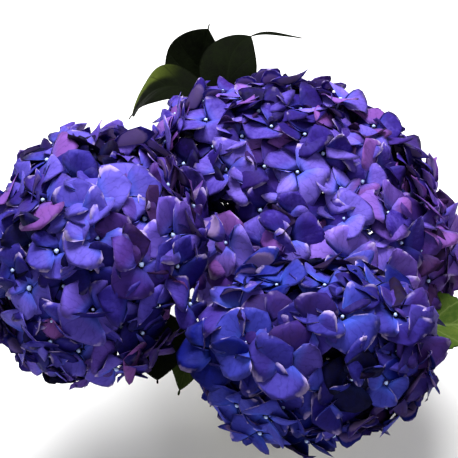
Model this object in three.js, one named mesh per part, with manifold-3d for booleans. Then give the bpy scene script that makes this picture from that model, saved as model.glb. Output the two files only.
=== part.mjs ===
// Three cut hydrangea mopheads with their leaves, standing in a low ceramic vase.
//
// Millimetres, +Z up. The origin is the centre of the vase's base, on the surface it stands on. +X is
// the viewer's right and +Y is away from the viewer, so the bloom named "back" leans towards +Y.
//
// Each flower is a woody stem whose top carries seven rays. A ray ends in a knuckle, and thin pedicels
// fan out from it to the florets, whose four broad sepals make the outside of the bloom.

import * as THREE from "three";
import { LoftGeometry } from "three/addons/geometries/LoftGeometry.js";
import { mergeVertices } from "three/addons/utils/BufferGeometryUtils.js";
import Module from "manifold-3d";

// ---------------------------------------------------------------- driving dimensions

const clearance = 0.3; // left between pieces that touch

const vase = {
  height: 105,
  footRadius: 37,
  bellyRadius: 58,
  bellyHeight: 50,
  neckRadius: 43.5,
  neckHeight: 93,
  lipRadius: 47,
  wall: 4.5,
  floor: 7,
  steps: 11, // along the outside
  segments: 32, // round it
};

// Angles are in degrees. A bloom's centre stands `reach` from the vase's axis in the direction
// `towards`, `above` the rim. Its own axis tilts by `tilt` to the direction `facing`, and `yaw` turns its
// wide side. Its stem leans on the rim in the direction `lean`, and at its top it tilts outwards by
// `stemTilt`.
const blooms = [
  {
    name: "left", towards: 186, reach: 131, above: 91, facing: 186, tilt: 42, yaw: 90,
    lean: 186, stemTilt: 42, wide: 91, deep: 87, tall: 71,
  },
  {
    name: "front", towards: -80, reach: 88, above: 85, facing: -80, tilt: 28, yaw: 0,
    lean: -80, stemTilt: 28, wide: 81, deep: 62, tall: 66,
  },
  {
    name: "back", towards: 70, reach: 52, above: 55, facing: -50, tilt: 18, yaw: -41,
    lean: 60, stemTilt: 42, wide: 118, deep: 95, tall: 68,
  },
];

// A leafy side shoot with no bloom: its tip stands out from the axis and above the rim, as the blooms
// do, and rises at `climb` there.
const shoot = { name: "shoot", towards: 106, reach: 141, above: 37, climb: 6, lean: 122, budRadius: 4.5 };

const stemSize = {
  radius: 4.2,
  topRadius: 3.4,
  receptacleRadius: 7,
  footReach: 24, // from the vase's axis to the cut end
  footTurn: 112, // the cut end lies this far round from where the stem leans on the rim
  straightEnd: 30, // the last stretch, along which the stem no longer bends
  sections: 18,
  sides: 8,
};

const head = {
  receptacleDrop: 0.45, // of the bloom's half height, from its centre down to the stem's top
  coverage: 122, // polar angle that the florets reach round to
  inset: 4, // of the outermost floret centres from the bloom's outline
  rayRadius: 2.2,
  raySides: 6,
  sideRays: 6,
  sideRayAngle: 75,
  knuckleRadius: 4.4,
  knuckleShare: 0.5, // of the way from the receptacle to the florets
};

const floret = {
  radius: 20,
  spacing: 30, // between the places of neighbouring florets
  elbowRoom: 37, // florets on the same level stand at least this far apart
  shoulderRadius: 17,
  shoulderAngle: 31,
  reflex: 2, // the sepal tips bend back by this much
  thickness: 1.8,
  pedicelRadius: 0.9,
  pedicelRootRadius: 0.3, // where it ends inside the knuckle
  levelStep: 4.6, // neighbours that would touch stand on different levels
  levels: 6,
  turnStep: 1.9, // each floret is turned by this much more than the one before, in radians
};

const leafShape = {
  sections: 12,
  petioleShare: 0.14, // of the whole length
  petioleWidth: 3.4,
  petioleThickness: 2.6,
  bladeThickness: 1.3,
  tipWidth: 1.4,
  fullness: 0.85, // below 1 the blade is rounder than a sine curve
  crease: 0.16, // how steeply the two halves rise from the midrib
  turnStart: 0.2, // the bend lies between these shares of the length
  turnEnd: 0.9,
};

// `at` is the share of the stem, from its cut end to its top, where the leaf grows. It sets out towards
// `heading`, rising at `climb`, and bends by `swing` sideways and `lift` upwards. `fullest` is where its
// blade is widest, and `point` the share of its length that is drawn out into a thin tip.
const leaves = [
  {
    name: "leaf_shoot_left", stem: "shoot", at: 0.89, heading: 130, climb: 54, swing: 44, lift: -116,
    length: 141, width: 36, fullest: 0.6, point: 0.04,
  },
  {
    name: "leaf_shoot_middle", stem: "shoot", at: 0.98, heading: 126, climb: 13, swing: -78, lift: 60,
    length: 102, width: 54, fullest: 0.64, point: 0.04,
  },
  {
    name: "leaf_shoot_right", stem: "shoot", at: 0.81, heading: 113, climb: 53, swing: -84, lift: -85,
    length: 179, width: 42, fullest: 0.6, point: 0.3,
  },
  {
    name: "leaf_right", stem: "front", at: 0.74, heading: 15, climb: 14, swing: -20, lift: -10,
    length: 138, width: 66, fullest: 0.42, point: 0.04,
  },
  {
    name: "leaf_front_low", stem: "front", at: 0.78, heading: 183, climb: -4, swing: 20, lift: -60,
    length: 77, width: 40, fullest: 0.42, point: 0.06,
  },
  {
    name: "leaf_left_low", stem: "left", at: 0.64, heading: 250, climb: -6, swing: -6, lift: -50,
    length: 62, width: 26, fullest: 0.42, point: 0.06,
  },
  {
    name: "leaf_left_front", stem: "left", at: 0.8, heading: 255, climb: -14, swing: 16, lift: -26,
    length: 58, width: 46, fullest: 0.42, point: 0.04,
  },
  {
    name: "leaf_left_back", stem: "left", at: 0.8, heading: 112, climb: 6, swing: 10, lift: -4,
    length: 112, width: 66, fullest: 0.42, point: 0.04,
  },
];

const colours = {
  glaze: 0xece9e2,
  bark: 0x5f6b34,
  ray: 0x8fa07a,
  leaf: 0x3c5a20,
  left: 0x5446b8,
  back: 0x6a48b4,
  front: 0x3f3fb6,
};

// ---------------------------------------------------------------- solids and meshes

const wasm = await Module();
wasm.setup();

const radians = THREE.MathUtils.degToRad;
const group = new THREE.Group();

// A closed geometry as a manifold-3d solid, turned the right way out.
function solidOf(geometry) {
  const bare = new THREE.BufferGeometry();
  bare.setAttribute("position", geometry.attributes.position);
  bare.setIndex(geometry.index);
  const merged = mergeVertices(bare, 1e-3);
  const triVerts = new Uint32Array(merged.index.array);
  const vertProperties = merged.attributes.position.array;
  const solid = new wasm.Manifold(new wasm.Mesh({ numProp: 3, vertProperties, triVerts }));
  if (solid.volume() > 0) return solid;
  return new wasm.Manifold(new wasm.Mesh({ numProp: 3, vertProperties, triVerts: triVerts.reverse() }));
}

function geometryOf(solid) {
  const { vertProperties, triVerts } = solid.getMesh();
  const geometry = new THREE.BufferGeometry();
  geometry.setAttribute("position", new THREE.BufferAttribute(vertProperties, 3));
  geometry.setIndex(new THREE.BufferAttribute(triVerts, 1));
  geometry.computeVertexNormals();
  return geometry;
}

// Every solid that stands already, so that the florets can be kept clear of it.
const standing = [];

function keepClearOf(owner, solid) {
  standing.push({ owner, solid, box: solid.boundingBox() });
}

function addPiece(name, solid, colour, roughness) {
  const material = new THREE.MeshStandardMaterial({ color: colour, roughness, metalness: 0 });
  const mesh = new THREE.Mesh(geometryOf(solid), material);
  mesh.name = name;
  group.add(mesh);
}

function direction(azimuth, elevation) {
  const [a, e] = [radians(azimuth), radians(elevation)];
  return new THREE.Vector3(Math.cos(a) * Math.cos(e), Math.sin(a) * Math.cos(e), Math.sin(e));
}

// A rod of any number of sides between two points.
function rod(from, to, radius, sides) {
  const along = to.clone().sub(from);
  const geometry = new THREE.CylinderGeometry(radius, radius, along.length(), sides);
  const turn = new THREE.Quaternion().setFromUnitVectors(new THREE.Vector3(0, 1, 0), along.clone().normalize());
  geometry.applyQuaternion(turn);
  const middle = from.clone().lerp(to, 0.5);
  return solidOf(geometry.translate(middle.x, middle.y, middle.z));
}

function ball(centre, radius, detail) {
  return solidOf(new THREE.IcosahedronGeometry(radius, detail).translate(centre.x, centre.y, centre.z));
}

// ---------------------------------------------------------------- vase

function vaseSolid() {
  const outline = new THREE.SplineCurve([
    new THREE.Vector2(vase.footRadius, 0),
    new THREE.Vector2(vase.bellyRadius, vase.bellyHeight),
    new THREE.Vector2(vase.neckRadius, vase.neckHeight),
    new THREE.Vector2(vase.lipRadius, vase.height - vase.wall / 2),
  ]).getPoints(vase.steps);
  const inside = outline
    .filter((p) => p.y > vase.floor + 1)
    .map((p) => new THREE.Vector2(p.x - vase.wall, p.y))
    .reverse();
  const lip = new THREE.Vector2(vase.lipRadius - vase.wall / 2, vase.height);
  const well = new THREE.Vector2(vase.footRadius - vase.wall, vase.floor);
  const profile = [new THREE.Vector2(0, 0), ...outline, lip, ...inside, well, new THREE.Vector2(0, vase.floor)];
  return solidOf(new THREE.LatheGeometry(profile, vase.segments).rotateX(Math.PI / 2));
}

// ---------------------------------------------------------------- blooms: where each one is

// The bloom's own axes and the few points that its stem, rays and florets are hung on.
function bloomFrame(bloom) {
  const centre = direction(bloom.towards, 0).multiplyScalar(bloom.reach);
  centre.z = vase.height + bloom.above;
  const along = direction(bloom.facing, 90 - bloom.tilt);
  const across = direction(bloom.yaw, 0);
  across.addScaledVector(along, -across.dot(along)).normalize();
  const third = along.clone().cross(across);
  const receptacle = centre.clone().addScaledVector(along, -head.receptacleDrop * bloom.tall);
  return { centre, along, across, third, receptacle };
}

// A point of the bloom's outline, drawn in by `depth`, and the outward normal there.
function outlinePoint(bloom, frame, polar, around, depth) {
  const local = new THREE.Vector3(
    Math.sin(polar) * Math.cos(around),
    Math.sin(polar) * Math.sin(around),
    Math.cos(polar),
  );
  const half = new THREE.Vector3(bloom.wide, bloom.deep, bloom.tall).subScalar(depth);
  const toWorld = (v) =>
    new THREE.Vector3()
      .addScaledVector(frame.across, v.x)
      .addScaledVector(frame.third, v.y)
      .addScaledVector(frame.along, v.z);
  return {
    unit: local,
    point: toWorld(local.clone().multiply(half)).add(frame.centre),
    normal: toWorld(local.clone().divide(half)).normalize(),
  };
}

// ---------------------------------------------------------------- stems

// The centreline: up through the vase past the axis, over the rim, and into line with what it carries.
function stemCurve(lean, top, along) {
  const mouthRadius = vase.neckRadius - vase.wall - stemSize.radius / 2 - 5 * clearance;
  const foot = direction(lean + stemSize.footTurn, 0).multiplyScalar(stemSize.footReach);
  foot.z = vase.floor + stemSize.radius / 2;
  const mouth = direction(lean, 0).multiplyScalar(mouthRadius);
  mouth.z = vase.height - vase.wall / 2;
  const middle = foot.clone().lerp(mouth, 0.5);
  const bend = top.clone().addScaledVector(along, -stemSize.straightEnd);
  return new THREE.CatmullRomCurve3([foot, middle, mouth, bend, top], false, "centripetal");
}

// A tapering round stem with a swollen top.
function stemSolid(curve, swelling) {
  const { sections, sides, radius, topRadius } = stemSize;
  const frames = curve.computeFrenetFrames(sections, false);
  const rings = frames.tangents.map((_, i) => {
    const share = i / sections;
    const size = THREE.MathUtils.lerp(radius, topRadius, share);
    const centre = curve.getPointAt(share);
    return Array.from({ length: sides }, (_, k) => {
      const angle = (2 * Math.PI * k) / sides;
      return centre
        .clone()
        .addScaledVector(frames.normals[i], size * Math.cos(angle))
        .addScaledVector(frames.binormals[i], size * Math.sin(angle));
    });
  });
  const shaft = solidOf(new LoftGeometry(rings, { capStart: true, capEnd: true }));
  return shaft.add(ball(curve.getPointAt(1), swelling, 1));
}

// ---------------------------------------------------------------- leaves

// Half the blade's width at a share of the leaf's length: a petiole, a pointed oval and the drawn-out tip.
function leafHalfWidth(leaf, share) {
  const { petioleShare, petioleWidth, tipWidth, fullness } = leafShape;
  const blade = Math.min((share - petioleShare) / (1 - petioleShare - leaf.point), 1);
  if (blade <= 0) return petioleWidth / 2;
  const skew = Math.log(0.5) / Math.log(leaf.fullest);
  const oval = Math.max(Math.sin(Math.PI * blade ** skew), 0) ** fullness;
  const narrowest = blade < 0.5 ? petioleWidth : tipWidth;
  return Math.max(leaf.width * oval, narrowest) / 2;
}

// A closed loft of thin lens-shaped sections, creased along the midrib.
function leafSolid(leaf, start) {
  const { sections, petioleShare, petioleThickness, bladeThickness, crease, turnStart, turnEnd } = leafShape;
  const rings = [];
  const point = start.clone();
  for (let i = 0; i <= sections; i++) {
    const share = i / sections;
    const bend = THREE.MathUtils.smoothstep(share, turnStart, turnEnd);
    const heading = leaf.heading + leaf.swing * bend;
    const ahead = direction(heading, leaf.climb + leaf.lift * bend);
    if (i > 0) point.addScaledVector(ahead, leaf.length / sections);
    const side = direction(heading - 90, 0);
    const up = side.clone().cross(ahead);
    const half = leafHalfWidth(leaf, share);
    const thick = (share < petioleShare ? petioleThickness : bladeThickness) / 2;
    const at = (x, lift) =>
      point
        .clone()
        .addScaledVector(side, x)
        .addScaledVector(up, Math.abs(x) * crease + lift);
    const upper = [at(-half, 0), at(-half / 2, thick), at(0, thick), at(half / 2, thick)];
    const under = [at(half, 0), at(half / 2, -thick), at(0, -thick), at(-half / 2, -thick)];
    rings.push([...upper, ...under]);
  }
  return solidOf(new LoftGeometry(rings, { capStart: true, capEnd: true }));
}

// The leaf, slid out along its own first direction until it stands just clear of the stem.
function seatedLeaf(leaf, curve, stem) {
  const ahead = direction(leaf.heading, leaf.climb);
  const step = clearance / 2;
  let out = stemSize.topRadius;
  let solid;
  do {
    out += step;
    solid = leafSolid(leaf, curve.getPointAt(leaf.at).addScaledVector(ahead, out));
  } while (solid.minGap(stem, 2 * clearance) < clearance);
  return solid;
}

// ---------------------------------------------------------------- florets

// Four sepals as one star, domed on a thin three-sided pedicel that runs down to the knuckle.
function floretSolid(centre, normal, twist, knuckle) {
  const e1 = new THREE.Vector3(0, 0, 1).cross(normal);
  if (e1.length() < 0.1) e1.set(1, 0, 0);
  e1.normalize();
  const e2 = normal.clone().cross(e1);
  const at = (origin, angle, radius, lift) =>
    origin
      .clone()
      .addScaledVector(e1, radius * Math.cos(angle))
      .addScaledVector(e2, radius * Math.sin(angle))
      .addScaledVector(normal, lift);
  const rimPoint = (angle, radius) => at(centre, angle, radius, -floret.reflex * (radius / floret.radius) ** 2);
  const rim = [];
  for (let sepal = 0; sepal < 4; sepal++) {
    const angle = twist + (sepal * Math.PI) / 2;
    rim.push(rimPoint(angle - radians(floret.shoulderAngle), floret.shoulderRadius));
    rim.push(rimPoint(angle, floret.radius));
    rim.push(rimPoint(angle + radians(floret.shoulderAngle), floret.shoulderRadius));
  }
  const sides = 3;
  const neck = [];
  const root = [];
  for (let side = 0; side < sides; side++) {
    const angle = twist + (side * 2 * Math.PI) / sides;
    neck.push(at(centre, angle, floret.pedicelRadius, -floret.thickness));
    root.push(at(knuckle, angle, floret.pedicelRootRadius, 0));
  }
  const points = [at(centre, 0, 0, 0), ...rim, ...neck, ...root];
  const neckAt = 1 + rim.length;
  const rootAt = neckAt + sides;
  const faces = [];
  const perSide = rim.length / sides;
  for (let k = 0; k < rim.length; k++) {
    const next = (k + 1) % rim.length;
    faces.push(0, 1 + k, 1 + next);
    faces.push(1 + next, 1 + k, neckAt + Math.floor(k / perSide));
  }
  for (let side = 0; side < sides; side++) {
    const next = (side + 1) % sides;
    faces.push(neckAt + side, neckAt + next, 1 + (perSide * (side + 1)) % rim.length);
    faces.push(neckAt + side, rootAt + side, rootAt + next);
    faces.push(neckAt + side, rootAt + next, neckAt + next);
  }
  faces.push(rootAt, rootAt + 2, rootAt + 1);
  const geometry = new THREE.BufferGeometry().setFromPoints(points);
  geometry.setIndex(faces);
  return solidOf(geometry);
}

// Points spread evenly over the part of the bloom that the florets cover.
function floretPlaces(bloom) {
  const reach = 1 - Math.cos(radians(head.coverage));
  const mean = Math.cbrt(bloom.wide * bloom.deep * bloom.tall) - head.inset;
  const cell = floret.spacing ** 2 * Math.sin(Math.PI / 3);
  const count = Math.round((2 * Math.PI * mean ** 2 * reach) / cell);
  const goldenAngle = Math.PI * (3 - Math.sqrt(5));
  return Array.from({ length: count }, (_, i) => {
    const polar = Math.acos(1 - (reach * (i + 0.5)) / count);
    return { polar, around: i * goldenAngle, twist: floret.turnStep * i };
  });
}

function boxesMeet(a, b, gap) {
  return [0, 1, 2].every((k) => a.min[k] - gap < b.max[k] && b.min[k] - gap < a.max[k]);
}

// True if the solid stands clear of everything that belongs to another piece.
function standsClear(solid, owner) {
  const box = solid.boundingBox();
  return standing.every(
    (other) =>
      other.owner === owner ||
      !boxesMeet(box, other.box, clearance) ||
      solid.minGap(other.solid, 2 * clearance) >= clearance,
  );
}

// The bare rays of one bloom: one through its top and the others round it.
function bloomRays(bloom, frame) {
  const ends = [{ polar: 0, around: 0 }];
  for (let k = 0; k < head.sideRays; k++) {
    ends.push({ polar: radians(head.sideRayAngle), around: (2 * Math.PI * k) / head.sideRays });
  }
  return ends.map(({ polar, around }, k) => {
    const outer = outlinePoint(bloom, frame, polar, around, head.inset);
    const knuckle = frame.receptacle.clone().lerp(outer.point, head.knuckleShare);
    const way = knuckle.clone().sub(frame.receptacle).normalize();
    const start = frame.receptacle.clone().addScaledVector(way, stemSize.receptacleRadius + clearance);
    const solid = rod(start, knuckle, head.rayRadius, head.raySides).add(ball(knuckle, head.knuckleRadius, 0));
    const name = `ray_${bloom.name}_${k + 1}`;
    keepClearOf(name, solid);
    return { name, knuckle, unit: outer.unit, solid };
  });
}

// Gives each place the floret of the nearest ray, on the first level where it stands clear.
function addFlorets(bloom, frame, rays) {
  const stood = [];
  for (const place of floretPlaces(bloom)) {
    const unit = outlinePoint(bloom, frame, place.polar, place.around, head.inset).unit;
    const ray = rays.reduce((best, r) => (r.unit.dot(unit) > best.unit.dot(unit) ? r : best));
    for (let level = 0; level < floret.levels; level++) {
      const depth = head.inset + level * floret.levelStep;
      const { point, normal } = outlinePoint(bloom, frame, place.polar, place.around, depth);
      const crowded = stood.some((s) => s.level === level && s.point.distanceTo(point) < floret.elbowRoom);
      if (crowded) continue;
      const solid = floretSolid(point, normal, place.twist, ray.knuckle);
      if (!standsClear(solid, ray.name)) continue;
      stood.push({ level, point });
      keepClearOf(ray.name, solid);
      ray.solid = ray.solid.add(solid);
      break;
    }
  }
}

// ---------------------------------------------------------------- assembly

const vaseBody = vaseSolid();
keepClearOf("vase", vaseBody);
addPiece("vase", vaseBody, colours.glaze, 0.25);

// Each stem's centreline and solid, by the name of what it carries.
const stems = {};

function addStem(name, lean, top, along, swelling) {
  const curve = stemCurve(lean, top, along);
  const solid = stemSolid(curve, swelling);
  stems[name] = { curve, solid };
  keepClearOf(`stem_${name}`, solid);
  addPiece(`stem_${name}`, solid, colours.bark, 0.75);
}

const flowers = blooms.map((bloom) => {
  const frame = bloomFrame(bloom);
  const upwards = direction(bloom.towards, 90 - bloom.stemTilt);
  addStem(bloom.name, bloom.lean, frame.receptacle, upwards, stemSize.receptacleRadius);
  return { bloom, frame, rays: bloomRays(bloom, frame) };
});

const shootTop = direction(shoot.towards, 0).multiplyScalar(shoot.reach);
shootTop.z = vase.height + shoot.above;
addStem(shoot.name, shoot.lean, shootTop, direction(shoot.towards, shoot.climb), shoot.budRadius);

for (const leaf of leaves) {
  const { curve, solid: stem } = stems[leaf.stem];
  const solid = seatedLeaf(leaf, curve, stem);
  keepClearOf(leaf.name, solid);
  addPiece(leaf.name, solid, colours.leaf, 0.55);
}

for (const { bloom, frame, rays } of flowers) {
  addFlorets(bloom, frame, rays);
  for (const ray of rays) addPiece(ray.name, ray.solid, colours[bloom.name], 0.7);
}

export default group;
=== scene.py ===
import math

import bpy
import numpy as np
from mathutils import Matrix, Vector


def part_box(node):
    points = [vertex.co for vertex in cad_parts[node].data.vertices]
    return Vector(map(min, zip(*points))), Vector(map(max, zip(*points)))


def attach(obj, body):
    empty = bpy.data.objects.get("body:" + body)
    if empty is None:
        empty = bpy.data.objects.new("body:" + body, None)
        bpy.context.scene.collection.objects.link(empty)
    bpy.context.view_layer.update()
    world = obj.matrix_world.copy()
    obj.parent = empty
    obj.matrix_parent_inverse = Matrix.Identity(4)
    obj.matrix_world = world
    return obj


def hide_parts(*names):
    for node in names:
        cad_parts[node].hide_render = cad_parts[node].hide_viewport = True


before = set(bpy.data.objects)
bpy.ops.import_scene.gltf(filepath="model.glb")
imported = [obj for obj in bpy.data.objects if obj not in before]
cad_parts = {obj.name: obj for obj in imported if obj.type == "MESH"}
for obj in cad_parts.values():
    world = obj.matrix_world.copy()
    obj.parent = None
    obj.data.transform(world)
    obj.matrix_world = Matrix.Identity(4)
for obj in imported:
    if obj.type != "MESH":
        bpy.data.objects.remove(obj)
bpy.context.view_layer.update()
rng = np.random.default_rng(7)
goldenAngle = math.pi * (3 - math.sqrt(5))
print("frame loaded:", len(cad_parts), "nodes")


# small helpers for angles and vectors, all on whole arrays

def direction(azimuth, elevation):
    a, e = np.radians(azimuth), np.radians(elevation)
    return np.stack([np.cos(a) * np.cos(e), np.sin(a) * np.cos(e), np.sin(e)], -1)


def unit(v):
    return v / np.maximum(np.linalg.norm(v, axis=-1, keepdims=True), 1e-9)


def smooth(x, low, high):
    t = np.clip((x - low) / (high - low), 0, 1)
    return t * t * (3 - 2 * t)


# Even angles round a full turn.
def fullTurn(count):
    return np.linspace(0, 2 * math.pi, count, endpoint=False)


# A mesh in the making: sets of points with their quads and triangles, masks, uvs and material slot.
class Shape:
    def __init__(self):
        self.points, self.quads, self.tris = [], [], []
        self.masks, self.uvs, self.slots = [], [], []
        self.count = 0

    def add(self, points, quads, tris, mask, uv=None, slot=0):
        self.points.append(points)
        self.quads.append(quads + self.count)
        self.tris.append(tris + self.count)
        self.masks.append(mask)
        self.uvs.append(np.zeros((len(points), 2)) if uv is None else uv)
        self.slots.append((len(quads), len(tris), slot))
        self.count += len(points)

    # Many equal sets of points, each with the same faces.
    def addMany(self, points, quads, tris, mask, uv=None, slot=0):
        shift = np.arange(len(points))[:, None, None] * points.shape[1]
        quads, tris = (quads + shift).reshape(-1, 4), (tris + shift).reshape(-1, 3)
        self.add(points.reshape(-1, 3), quads, tris, mask.reshape(-1, 4), uv, slot)

    # One mesh object. The masks go to the colour attribute "mask" and the uvs to the map "surface".
    def build(self, name, materials):
        points = np.concatenate(self.points)
        corners, sizes, slots = [], [], []
        for quad, tri, (nQuads, nTris, slot) in zip(self.quads, self.tris, self.slots):
            corners += [quad.reshape(-1), tri.reshape(-1)]
            sizes += [np.full(nQuads, 4), np.full(nTris, 3)]
            slots.append(np.full(nQuads + nTris, slot))
        corners, sizes, slots = np.concatenate(corners), np.concatenate(sizes), np.concatenate(slots)
        mesh = bpy.data.meshes.new(name)
        mesh.vertices.add(len(points))
        mesh.vertices.foreach_set("co", points.astype(np.float32).reshape(-1))
        mesh.loops.add(len(corners))
        mesh.loops.foreach_set("vertex_index", corners.astype(np.int32))
        mesh.polygons.add(len(sizes))
        starts = np.concatenate([[0], np.cumsum(sizes)[:-1]])
        mesh.polygons.foreach_set("loop_start", starts.astype(np.int32))
        mesh.polygons.foreach_set("material_index", slots.astype(np.int32))
        mesh.polygons.foreach_set("use_smooth", np.ones(len(sizes), bool))
        mesh.update(calc_edges=True)
        mask = mesh.attributes.new("mask", "FLOAT_COLOR", "POINT")
        mask.data.foreach_set("color", np.concatenate(self.masks).astype(np.float32).reshape(-1))
        uv = mesh.uv_layers.new(name="surface")
        uv.data.foreach_set("uv", np.concatenate(self.uvs)[corners].astype(np.float32).reshape(-1))
        mesh.validate()
        piece = bpy.data.objects.new(name, mesh)
        bpy.context.collection.objects.link(piece)
        for material in materials:
            mesh.materials.append(material)
        return piece


# Quads of a grid of rows x columns points whose last column joins the first.
def gridFaces(rows, columns):
    i, j = np.meshgrid(np.arange(rows - 1), np.arange(columns), indexing="ij")
    k = (j + 1) % columns
    corners = [i * columns + j, i * columns + k, (i + 1) * columns + k, (i + 1) * columns + j]
    return np.stack(corners, -1).reshape(-1, 4)


# Fans that close such a grid, from the two points that follow it: one for its first row, one for its last.
def endFaces(rows, columns):
    j = np.arange(columns)
    k = (j + 1) % columns
    middle, last = np.full(columns, rows * columns), (rows - 1) * columns
    return np.concatenate([np.stack([middle, k, j], -1), np.stack([middle + 1, last + j, last + k], -1)])


# A tube along path points: a ring of sides points round each, closed by a middle point at both ends.
def addTube(shape, path, radii, sides, tint, slot=0):
    ahead = unit(np.gradient(path, axis=0))
    helper = np.array([0.3, 0.2, 1.0]) if abs(ahead[:, 2]).max() < 0.95 else np.array([1.0, 0.2, 0.1])
    e1 = unit(np.cross(ahead, helper))
    e2 = np.cross(ahead, e1)
    angle = fullTurn(sides)
    around = np.cos(angle)[None, :, None] * e1[:, None] + np.sin(angle)[None, :, None] * e2[:, None]
    rings = path[:, None] + radii[:, None, None] * around
    n = len(path)
    points = np.concatenate([rings.reshape(-1, 3), path[:1], path[-1:]])
    length = np.concatenate([[0], np.cumsum(np.linalg.norm(np.diff(path, axis=0), axis=1))])
    uv = np.stack([np.tile(angle / (2 * math.pi), n), np.repeat(length, sides)], -1)
    uv = np.concatenate([uv, [[0.5, 0], [0.5, length[-1]]]])
    mask = np.tile(tint, (len(points), 1))
    shape.add(points, gridFaces(n, sides), endFaces(n, sides), mask, uv, slot)


# node groups shared by several materials

def newGroup(name, inputs, outputs):
    group = bpy.data.node_groups.new(name, "ShaderNodeTree")
    for direct, sockets in (("INPUT", inputs), ("OUTPUT", outputs)):
        for label, kind in sockets:
            group.interface.new_socket(label, in_out=direct, socket_type="NodeSocket" + kind)
    return group, group.nodes.new("NodeGroupInput"), group.nodes.new("NodeGroupOutput")


def addNode(tree, kind, **settings):
    node = tree.nodes.new("ShaderNode" + kind)
    for key, value in settings.items():
        setattr(node, key, value)
    return node


# Links a socket to another one, or sets it to a number or to a colour's red, green and blue.
def feed(socket, value):
    if isinstance(value, bpy.types.NodeSocket):
        socket.id_data.links.new(value, socket)
    elif isinstance(value, tuple):
        socket.default_value = (*value, 1.0)
    elif value is not None:
        socket.default_value = value


def mixColour(factor, first, second):
    node = addNode(factor.id_data, "Mix", data_type="RGBA")
    for index, value in ((0, factor), (6, first), (7, second)):
        feed(node.inputs[index], value)
    return node.outputs[2]


# One sum with one or two values, at least one of them a socket.
def mathNode(operation, first, second=None):
    owner = first if isinstance(first, bpy.types.NodeSocket) else second
    node = addNode(owner.id_data, "Math", operation=operation)
    feed(node.inputs[0], first)
    feed(node.inputs[1], second)
    return node.outputs[0]


def times(first, second):
    return mathNode("MULTIPLY", first, second)


def plus(first, second):
    return mathNode("ADD", first, second)


def minus(first, second):
    return mathNode("SUBTRACT", first, second)


# The value of a socket moved from one range to another and clamped.
def rangeNode(value, fromLow, fromHigh, toLow=0.0, toHigh=1.0):
    node = addNode(value.id_data, "MapRange", clamp=True)
    for socket, number in zip(node.inputs, (value, fromLow, fromHigh, toLow, toHigh)):
        feed(socket, number)
    return node.outputs[0]


# Two colours blended as a value goes from low to high.
def blendOver(value, low, high, first, second):
    return mixColour(rangeNode(value, low, high), first, second)


# Uneven tone over a surface: large soft patches with a finer mottle in them.
def mottleGroup():
    group, source, sink = newGroup(
        "mottle", [("Vector", "Vector"), ("Scale", "Float"), ("Fine", "Float")], [("Value", "Float")]
    )
    place, scale, fine = (source.outputs[key] for key in ("Vector", "Scale", "Fine"))
    noises = []
    for detail, size in ((2, scale), (5, times(scale, fine))):
        noise = addNode(group, "TexNoise", noise_dimensions="3D")
        noise.inputs["Detail"].default_value = detail
        feed(noise.inputs["Vector"], place)
        feed(noise.inputs["Scale"], size)
        noises.append(noise.outputs[0])
    large, small = noises
    feed(sink.inputs["Value"], plus(times(large, 0.6), times(small, 0.4)))
    return group


# Thin lines where the sine of a value is near zero: one minus its size, to the power of Sharpness.
def thinLines(value, source):
    wave = mathNode("ABSOLUTE", mathNode("SINE", value))
    return mathNode("POWER", minus(1.0, wave), source.outputs["Sharpness"])


# Side veins that leave a midrib at a slant: thin lines at an even step of v plus a share of |u|.
def veinGroup():
    group, source, sink = newGroup(
        "side_veins",
        [("Vector", "Vector"), ("Pairs", "Float"), ("Slant", "Float"), ("Sharpness", "Float")],
        [("Lines", "Float"), ("Midrib", "Float")],
    )
    split = addNode(group, "SeparateXYZ")
    feed(split.inputs[0], source.outputs["Vector"])
    offset = mathNode("ABSOLUTE", minus(split.outputs[0], 0.5))
    bent = times(mathNode("POWER", offset, 0.8), source.outputs["Slant"])
    step = times(minus(split.outputs[1], bent), source.outputs["Pairs"])
    feed(sink.inputs["Lines"], thinLines(times(step, math.pi), source))
    feed(sink.inputs["Midrib"], rangeNode(offset, 0.035, 0.0))
    return group


# Veins that fan out from the claw: thin lines at even angles about (0.5, 0), bent by a soft noise.
def fanGroup():
    group, source, sink = newGroup(
        "fan_veins", [("Vector", "Vector"), ("Rays", "Float"), ("Sharpness", "Float")], [("Lines", "Float")]
    )
    split = addNode(group, "SeparateXYZ")
    bend = addNode(group, "TexNoise", noise_dimensions="3D")
    bend.inputs["Scale"].default_value = 4
    for node in (split, bend):
        feed(node.inputs[0], source.outputs["Vector"])
    sideways = minus(split.outputs[0], 0.5)
    angle = mathNode("ARCTAN2", sideways, plus(split.outputs[1], 0.12))
    angle = plus(angle, times(bend.outputs[0], 0.5))
    feed(sink.inputs["Lines"], thinLines(times(angle, source.outputs["Rays"]), source))
    return group


mottle = mottleGroup()
sideVeins = veinGroup()
fanVeins = fanGroup()


def useGroup(tree, group, **values):
    node = addNode(tree, "Group", node_tree=group)
    for key, value in values.items():
        feed(node.inputs[key], value)
    return node.outputs


def mottled(place, scale, fine):
    return useGroup(place.id_data, mottle, Vector=place, Scale=scale, Fine=fine)["Value"]


# Distances in a pattern of cells: to the middle of the nearest one, or to its edge.
def cellDistance(place, scale, feature="F1"):
    node = addNode(place.id_data, "TexVoronoi", feature=feature)
    node.inputs["Scale"].default_value = scale
    feed(node.inputs["Vector"], place)
    return node.outputs["Distance"]


# The two places that a pattern can follow: the piece's own space, and its map over the surface.
def objectPlace(tree):
    return addNode(tree, "TexCoord").outputs["Object"]


def surfacePlace(tree):
    return addNode(tree, "UVMap", uv_map="surface").outputs[0]


# A material with its Principled shader's fixed numbers set on the shader's own sockets.
def newMaterial(name, **settings):
    material = bpy.data.materials.new(name)
    material.use_nodes = True
    tree = material.node_tree
    shader = tree.nodes["Principled BSDF"]
    for key, value in settings.items():
        shader.inputs[key].default_value = value
    return material, tree, shader


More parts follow.
